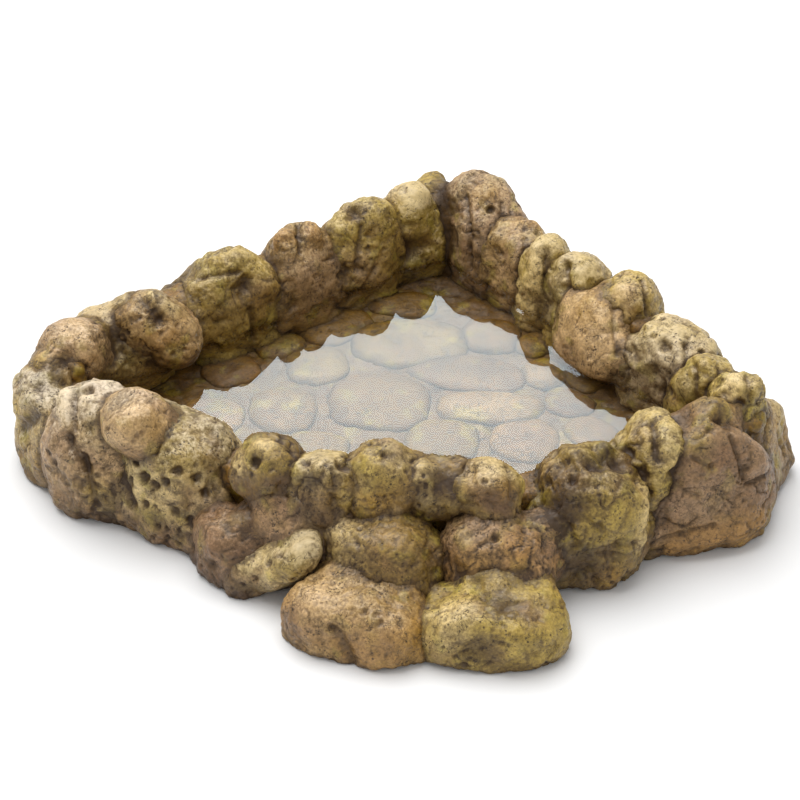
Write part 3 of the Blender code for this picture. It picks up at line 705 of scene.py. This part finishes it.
def paint_stone(mesh, base_points, style, seed, recess, proud, gap, crevice_wash_and_shade, marks, weights):
    normals = read_normals(mesh)
    low, high = base_points.min(axis=0), base_points.max(axis=0)
    place = (base_points - (low + high) / 2) / ((high - low) / 2)
    broad = layered(base_points, 17.0, seed + 90)
    medium = layered(base_points, 6.0, seed + 95)
    paint = np.tile(linear(style.base), (len(base_points), 1))
    paint = mix(paint, linear(style.patch), 0.8 * smooth(-0.05, 0.35, broad + 0.3 * medium))
    centre = smooth(0.85, 0.1, np.abs(place[:, 2] - 0.1) + 0.5 * medium)
    paint = mix(paint, linear(style.heart), 0.65 * centre)
    # The lower part in the foot colour, mostly darker: in part its own paint and in part painted shade
    # low on the stone.
    low_part = smooth(-0.15, -0.9, place[:, 2] + 0.45 * broad)
    paint = mix(paint, linear(style.foot), 0.75 * low_part)
    tint = smooth(0.15, 0.42, layered(base_points, 9.0, seed + 97))
    paint = mix(paint, linear("lichen"), 0.5 * tint)
    shade = smooth(0.18, 0.45, layered(base_points, 11.0, seed + 98))
    paint = mix(paint, linear("mauve"), 0.45 * shade)
    # The marks' colours, with painted highlights on raised marks and painted shade in their hollows.
    for item, weight in zip(marks, weights):
        if item.colour:
            paint = mix(paint, linear(item.colour), item.share * np.minimum(1.0, 1.25 * weight))
    # The dark wash and painted shade: in recesses, in the crevices between stones, low near the ground
    # and on faces turned down.
    crevice = smooth(CREVICE_REACH, 0.2, gap + 0.5 * medium)
    ground = smooth(4.0, 0.0, base_points[:, 2] + 2.0 * medium)
    wash = style.wash * recess + 0.06 + crevice_wash_and_shade * crevice + 0.3 * ground
    wash += 0.35 * smooth(0.2, -0.7, normals[:, 2])
    # Dry brush on high points, and painted top light on faces turned up and on the upper part of the
    # stone.
    up = smooth(0.05, 0.95, normals[:, 2])
    brush = style.brush * (0.55 * up + 0.55 * proud + 0.45 * smooth(0.2, 0.95, place[:, 2]))
    brush -= 0.8 * crevice
    level = base_points[:, 2] + 0.8 * medium - WATER_LEVEL
    wet = smooth(3.2, 1.0, level) * smooth(-5.0, -1.0, level) * inner_side(base_points)
    write_paint(mesh, paint)
    write_numbers(mesh, "wash", wash)
    write_numbers(mesh, "brush", brush)
    write_numbers(mesh, "wet", wet)


def inner_side(points):
    """1 inside the bowl and 0 outside it, across the middle of the curb."""
    return smooth(-2.0, 3.0, curb_distance(points))


# Materials.

class Nodes:
    """Short calls to build one material's nodes."""

    def __init__(self, name):
        self.material = bpy.data.materials.new(name)
        self.material.use_nodes = True
        self.tree = self.material.node_tree
        self.shader = self.tree.nodes["Principled BSDF"]
        self.output = self.tree.nodes["Material Output"]

    def put(self, kind, inputs=(), **settings):
        node = self.tree.nodes.new(kind)
        for key, value in settings.items():
            setattr(node, key, value)
        for key, value in dict(inputs).items():
            self.into(node.inputs[key], value)
        return node

    def into(self, socket, value):
        if isinstance(value, bpy.types.NodeSocket):
            self.tree.links.new(value, socket)
        else:
            socket.default_value = value

    def surface(self, name, value):
        """Sets or links one input of the shader."""
        self.into(self.shader.inputs[name], value)

    def attribute(self, name, output="Fac"):
        return self.put("ShaderNodeAttribute", attribute_name=name).outputs[output]

    def place(self):
        return self.put("ShaderNodeTexCoord").outputs["Object"]

    def noise(self, scale, detail=3.0, rough=0.55):
        inputs = {"Vector": self.place(), "Scale": scale, "Detail": detail, "Roughness": rough}
        return self.put("ShaderNodeTexNoise", inputs).outputs["Fac"]

    def maths(self, operation, first, second=0.0):
        return self.put("ShaderNodeMath", {0: first, 1: second}, operation=operation).outputs[0]

    def span(self, value, low, high, to_low=0.0, to_high=1.0):
        """The value's range from low to high, spread smoothly over another range."""
        inputs = {"Value": value, "From Min": low, "From Max": high, "To Min": to_low, "To Max": to_high}
        node = self.put("ShaderNodeMapRange", inputs, interpolation_type="SMOOTHSTEP")
        return node.outputs["Result"]

    def blend(self, share, first, second, how="MIX"):
        node = self.put("ShaderNodeMix", {"Factor": share}, data_type="RGBA", blend_type=how)
        self.into(node.inputs[6], first)
        self.into(node.inputs[7], second)
        return node.outputs[2]

    def scaled(self, colour, red, green, blue):
        """The colour times one factor for each channel."""
        factors = self.put("ShaderNodeCombineColor", {"Red": red, "Green": green, "Blue": blue})
        return self.blend(1.0, colour, factors.outputs[0], "MULTIPLY")

    def lines(self, scale, mask_scale):
        """Thin broken lines, like hair cracks."""
        away = self.maths("ABSOLUTE", self.maths("SUBTRACT", self.noise(scale, 2.5, 0.6), 0.5))
        thin = self.span(away, 0.012, 0.003)
        return self.maths("MULTIPLY", thin, self.span(self.noise(mask_scale, 1.0), 0.48, 0.58))

    def bump(self, height, strength, distance):
        inputs = {"Height": height, "Strength": strength, "Distance": distance}
        return self.put("ShaderNodeBump", inputs).outputs["Normal"]


def rgba(name, by=1.0):
    return (*(linear(name) * by), 1.0)


def stone_material(name, top, varnish):
    """Painted rock: patches, dry brush with painted top light, dark washes with painted shade, dots, hair
    cracks and a wet band.
    """
    n = Nodes(name)
    colour = n.blend(1.0, n.attribute("paint", "Color"), varnish, "MULTIPLY")
    patches = n.noise(160.0, 4.0)
    speckle = n.noise(900.0, 3.0, 0.65)
    fine = n.noise(1900.0, 2.0, 0.6)
    colour = n.scaled(colour, n.span(patches, 0.25, 0.75, 0.78, 1.22),
                      n.span(patches, 0.25, 0.75, 0.76, 1.22), n.span(patches, 0.25, 0.75, 0.68, 1.24))
    shade = n.span(speckle, 0.3, 0.7, 0.78, 1.22)
    colour = n.scaled(colour, shade, shade, shade)
    # Dry brush and painted top light, in the top colour.
    brush = n.maths("ADD", n.attribute("brush"), n.span(speckle, 0.3, 0.72, -0.22, 0.20))
    brush = n.span(brush, 0.25, 1.15, 0.0, 0.6)
    colour = n.blend(brush, colour, rgba(top))
    # The dark wash and painted shade, brown and then umber where it is deepest.
    wash = n.maths("ADD", n.attribute("wash"), n.span(speckle, 0.3, 0.72, 0.12, -0.16))
    wide_wash_and_shade = n.span(wash, 0.05, 0.75, 0.0, 0.62)
    colour = n.blend(wide_wash_and_shade, colour, rgba("brown", 0.62))
    deep_wash_and_shade = n.span(wash, 0.6, 1.35, 0.0, 0.85)
    colour = n.blend(deep_wash_and_shade, colour, rgba("umber", 0.85))
    dots = n.put("ShaderNodeTexVoronoi", {"Vector": n.place(), "Scale": 520.0, "Randomness": 1.0})
    dot = n.span(dots.outputs["Distance"], 0.30, 0.14)
    chosen = n.span(n.noise(300.0, 2.0), 0.51, 0.61)
    dot = n.maths("MULTIPLY", dot, chosen)
    colour = n.blend(n.maths("MULTIPLY", dot, 0.8), colour, rgba("umber", 0.6))
    line = n.maths("MAXIMUM", n.lines(210.0, 120.0), n.lines(420.0, 170.0))
    colour = n.blend(n.maths("MULTIPLY", line, 0.9), colour, rgba("umber", 0.6))
    wet = n.attribute("wet")
    soaked = n.scaled(colour, 0.42, 0.34, 0.22)
    colour = n.blend(n.maths("MULTIPLY", wet, 0.55), colour, soaked)
    n.surface("Base Color", colour)
    rough = n.span(n.noise(420.0, 3.0), 0.3, 0.7, 0.32, 0.58)
    rough = n.maths("SUBTRACT", rough, n.maths("MULTIPLY", wet, 0.25))
    rough = n.maths("ADD", rough, n.maths("MULTIPLY", deep_wash_and_shade, 0.2))
    n.surface("Roughness", rough)
    relief = n.maths("ADD", n.maths("MULTIPLY", speckle, 0.7), n.maths("MULTIPLY", fine, 0.3))
    relief = n.maths("SUBTRACT", relief, n.maths("MULTIPLY", dot, 0.5))
    relief = n.maths("SUBTRACT", relief, n.maths("MULTIPLY", line, 0.7))
    n.surface("Normal", n.bump(relief, 0.55, 0.0006))
    return n.material


def water_material():
    n = Nodes("clear_water")
    n.surface("Base Color", (0.97, 0.985, 0.98, 1.0))
    n.surface("Roughness", 0.0)
    n.surface("IOR", 1.333)
    n.surface("Transmission Weight", 1.0)
    ripple = n.noise(38.0, 2.0, 0.4)
    n.surface("Normal", n.bump(ripple, 0.05, 0.001))
    path = n.put("ShaderNodeLightPath")
    clear = n.put("ShaderNodeBsdfTransparent", {"Color": (0.96, 0.975, 0.965, 1.0)})
    pick = n.put("ShaderNodeMixShader", {0: path.outputs["Is Shadow Ray"]})
    n.into(pick.inputs[1], n.shader.outputs[0])
    n.into(pick.inputs[2], clear.outputs[0])
    n.into(n.output.inputs["Surface"], pick.outputs[0])
    return n.material


# The stones.

def finish_piece(name, mesh, node, material):
    mesh.polygons.foreach_set("use_smooth", [True] * len(mesh.polygons))
    mesh.materials.clear()
    mesh.materials.append(material)
    item = new_object(name, mesh)
    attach(item, "root")
    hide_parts(node)
    return item


coarse = 1.0
materials = {top: stone_material("painted_rock_" + top, top, ROCK_VARNISH)
             for top in sorted({style.top for style in LOOKS.values()})}
floor_materials = {top: stone_material("painted_floor_" + top, top, FLOOR_VARNISH)
                   for top in ("tan", "yellow")}
stones = {}
for node in sorted(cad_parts):
    if node in LOOKS:
        stones[node] = rounded(node, whole_form(node), STONE_VOXEL * coarse, 7)
    elif node.startswith("floor_cobble"):
        stones[node] = rounded(node, whole_form(node), COBBLE_VOXEL * coarse, 5)
shell_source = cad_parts["basin_shell"].data.copy()
stones["basin_shell"] = rounded("basin_shell", shell_source, SHELL_VOXEL * coarse, 3)
trees = {name: tree_of(mesh) for name, mesh in stones.items()}
boxes = {name: (read_points(mesh).min(axis=0), read_points(mesh).max(axis=0))
         for name, mesh in stones.items()}


def plain_style(node):
    """The look of the shell and the floor cobbles."""
    if node == "basin_shell":
        return look("gold", "olive", "gold", "brown", "tan", wash=0.8, brush=0.2, lump=1.8)
    number = int(node[-2:])
    count = len(COBBLE_BASES)
    return look(COBBLE_BASES[number % count], "gold", COBBLE_BASES[number * 3 % count], "umber", "yellow",
                wash=0.8, brush=0.1, lump=0.9, crease=0.2, dent=0.5, crack=0.4, pit=0.2)


def carve(node, mesh, seed):
    """Cuts one stone's relief. Returns its fine mesh and what the paint needs to know."""
    others = {name: tree for name, tree in trees.items() if name != "basin_shell"}
    write_numbers(mesh, "gap", gaps(read_points(mesh), node, others, boxes, GAP_REACH))
    fine = applied(node + "_fine", mesh, ("SUBSURF", {"levels": 1}))
    base_points = read_points(fine)
    normals = read_normals(fine)
    closeness = 1.0 - read_numbers(fine, "gap") / GAP_REACH
    size = 1.0
    if node in LOOKS:
        swell = 0.7 + 4.4 * closeness ** 2
    elif node == "basin_shell":
        swell = np.full(len(base_points), 1.6)
    else:
        swell = np.full(len(base_points), 1.1)
        size = 0.7
    style = LOOKS.get(node) or plain_style(node)
    marks = MARKS.get(node, [])
    height, cut, weights = carved(base_points, marks, trees[node], seed)
    points = base_points + normals * swell[:, None]
    points, recess, proud = stone_relief(points, normals, size, style, seed, (height, cut))
    points[:, 2] = np.maximum(points[:, 2], 0.0)
    write_points(fine, points)
    return fine, style, base_points, seed, recess, proud, marks, weights


carvings = {node: carve(node, mesh, number * 131 + 7)
            for number, (node, mesh) in enumerate(sorted(stones.items()))}
surfaces = {node: tree_of(carving[0]) for node, carving in carvings.items()}
reaches = {node: (read_points(carving[0]).min(axis=0), read_points(carving[0]).max(axis=0))
           for node, carving in carvings.items()}

for node, (fine, style, base_points, seed, recess, proud, marks, weights) in carvings.items():
    others = surfaces
    crevice_wash_and_shade = 0.65
    if node == "basin_shell":
        others = {name: tree for name, tree in surfaces.items() if name in LOOKS}
        crevice_wash_and_shade = 0.5
    gap = gaps(read_points(fine), node, others, reaches, CREVICE_REACH)
    paint_stone(fine, base_points, style, seed, recess, proud, gap, crevice_wash_and_shade, marks, weights)
    finishes = materials if node in LOOKS else floor_materials
    finish_piece("rock_" + node, fine, node, finishes[style.top])


# The water, with the edge that climbs the stones.

def water_heights(grid):
    """How far the water climbs at each point near a stone."""
    closest = np.full(len(grid), GAP_REACH)
    for name, tree in trees.items():
        box = boxes[name]
        if box[1][2] < WATER_LEVEL or name == "basin_shell":
            continue
        at = np.flatnonzero((grid[:, 0] > box[0][0] - 5) & (grid[:, 0] < box[1][0] + 5)
                            & (grid[:, 1] > box[0][1] - 5) & (grid[:, 1] < box[1][1] + 5))
        for index in at:
            spot = Vector(grid[index] * MM)
            place, normal, _, distance = tree.find_nearest(spot, CLIMB_REACH * MM)
            if place is None:
                continue
            away = -1.0 if (spot - place).dot(normal) < 0.0 else 1.0
            closest[index] = min(closest[index], away * distance / MM - RELIEF_HEIGHT)
    return WATER_RISE * np.exp(-np.maximum(closest, 0.0) / CLIMB_WIDTH)


def water_mesh():
    """A closed body whose surface runs into the stones all round."""
    step = WATER_STEP * coarse
    low, high = CAD_LOW / MM, CAD_HIGH / MM
    columns = np.arange(low.x + 4, high.x - 4, step)
    rows = np.arange(low.y + 30, high.y - 4, step)
    grid = np.array([(x, y, WATER_LEVEL) for y in rows for x in columns])
    rise = water_heights(grid)
    count = len(columns)
    kept = np.flatnonzero(curb_distance(grid) > -WATER_OVERLAP)
    form = bmesh.new()
    top = {}
    bottom = {}
    for index in kept:
        x, y, z = grid[index]
        top[index] = form.verts.new((x * MM, y * MM, (z + rise[index]) * MM))
        bottom[index] = form.verts.new((x * MM, y * MM, WATER_FOOT * MM))
    for index in kept:
        square = [index, index + 1, index + count + 1, index + count]
        if all(corner in top for corner in square) and (index + 1) % count:
            form.faces.new([top[corner] for corner in square])
            form.faces.new([bottom[corner] for corner in reversed(square)])
    rim = [edge for edge in form.edges if edge.is_boundary]
    upper = {vert: bottom[index] for index, vert in top.items()}
    for edge in rim:
        first, second = edge.verts
        if first in upper and second in upper:
            form.faces.new([first, second, upper[second], upper[first]])
    loose = [vert for vert in form.verts if not vert.link_faces]
    bmesh.ops.delete(form, geom=loose, context="VERTS")
    bmesh.ops.recalc_face_normals(form, faces=form.faces[:])
    mesh = bpy.data.meshes.new("water")
    form.to_mesh(mesh)
    form.free()
    return mesh


water = finish_piece("clear_water", water_mesh(), "water_fill", water_material())


# Floor, light and camera, in metres.

LIGHT_TARGET = Vector((0, 0, 0.02))
CAMERA_TARGET = Vector((-0.0023, -0.0013, 0.020))
CAMERA_DISTANCE = 0.892


def stage_floor():
    mesh = bpy.data.meshes.new("studio_floor")
    mesh.from_pydata([(-6, -6, 0), (6, -6, 0), (6, 6, 0), (-6, 6, 0)], [], [(0, 1, 2, 3)])
    n = Nodes("studio_white")
    n.surface("Base Color", (0.82, 0.82, 0.82, 1.0))
    n.surface("Roughness", 0.9)
    mesh.materials.append(n.material)
    item = new_object("studio_floor", mesh)
    item.location.z = -0.0002


def area_light(name, place, size, power, colour=(1, 1, 1)):
    """A light aimed at the dish. Lengths here are in metres."""
    data = bpy.data.lights.new(name, "AREA")
    data.shape = "RECTANGLE"
    data.size, data.size_y = size
    data.energy = power
    data.color = colour
    item = new_object(name, data)
    item.location = place
    item.rotation_euler = (Vector(place) - LIGHT_TARGET).to_track_quat("Z", "Y").to_euler()
    return item


stage_floor()
world = bpy.data.worlds.new("studio")
bpy.context.scene.world = world
world.use_nodes = True
world.node_tree.nodes["Background"].inputs["Color"].default_value = (1.0, 1.0, 1.0, 1.0)
world.node_tree.nodes["Background"].inputs["Strength"].default_value = 0.62
key = area_light("key", (-0.3, 0.35, 1.2), (1.4, 1.4), 24.0)
# The sky panel is there for the white sheet that it makes on the water, and lights nothing else.
sky = area_light("sky_panel", (0.45, 2.2, 1.7), (4.0, 2.4), 254.0, (0.90, 1.02, 1.08))
sky.visible_camera = False
sky.visible_diffuse = False
sky.visible_transmission = False
only_water = bpy.data.collections.new("only_water")
only_water.objects.link(water)
sky.light_linking.receiver_collection = only_water
all_but_water = bpy.data.collections.new("all_but_water")
all_but_water.objects.link(water)
all_but_water.collection_objects[0].light_linking.link_state = "EXCLUDE"
key.light_linking.receiver_collection = all_but_water

camera_data = bpy.data.cameras.new("camera")
camera_data.lens = 100.0
camera_data.sensor_width = 36.0
camera = new_object("camera", camera_data)
camera.location = CAMERA_TARGET + Vector(TOWARDS) * CAMERA_DISTANCE
camera.rotation_euler = Vector(TOWARDS).to_track_quat("Z", "Y").to_euler()
bpy.context.scene.camera = camera
bpy.context.scene.view_settings.view_transform = "Standard"
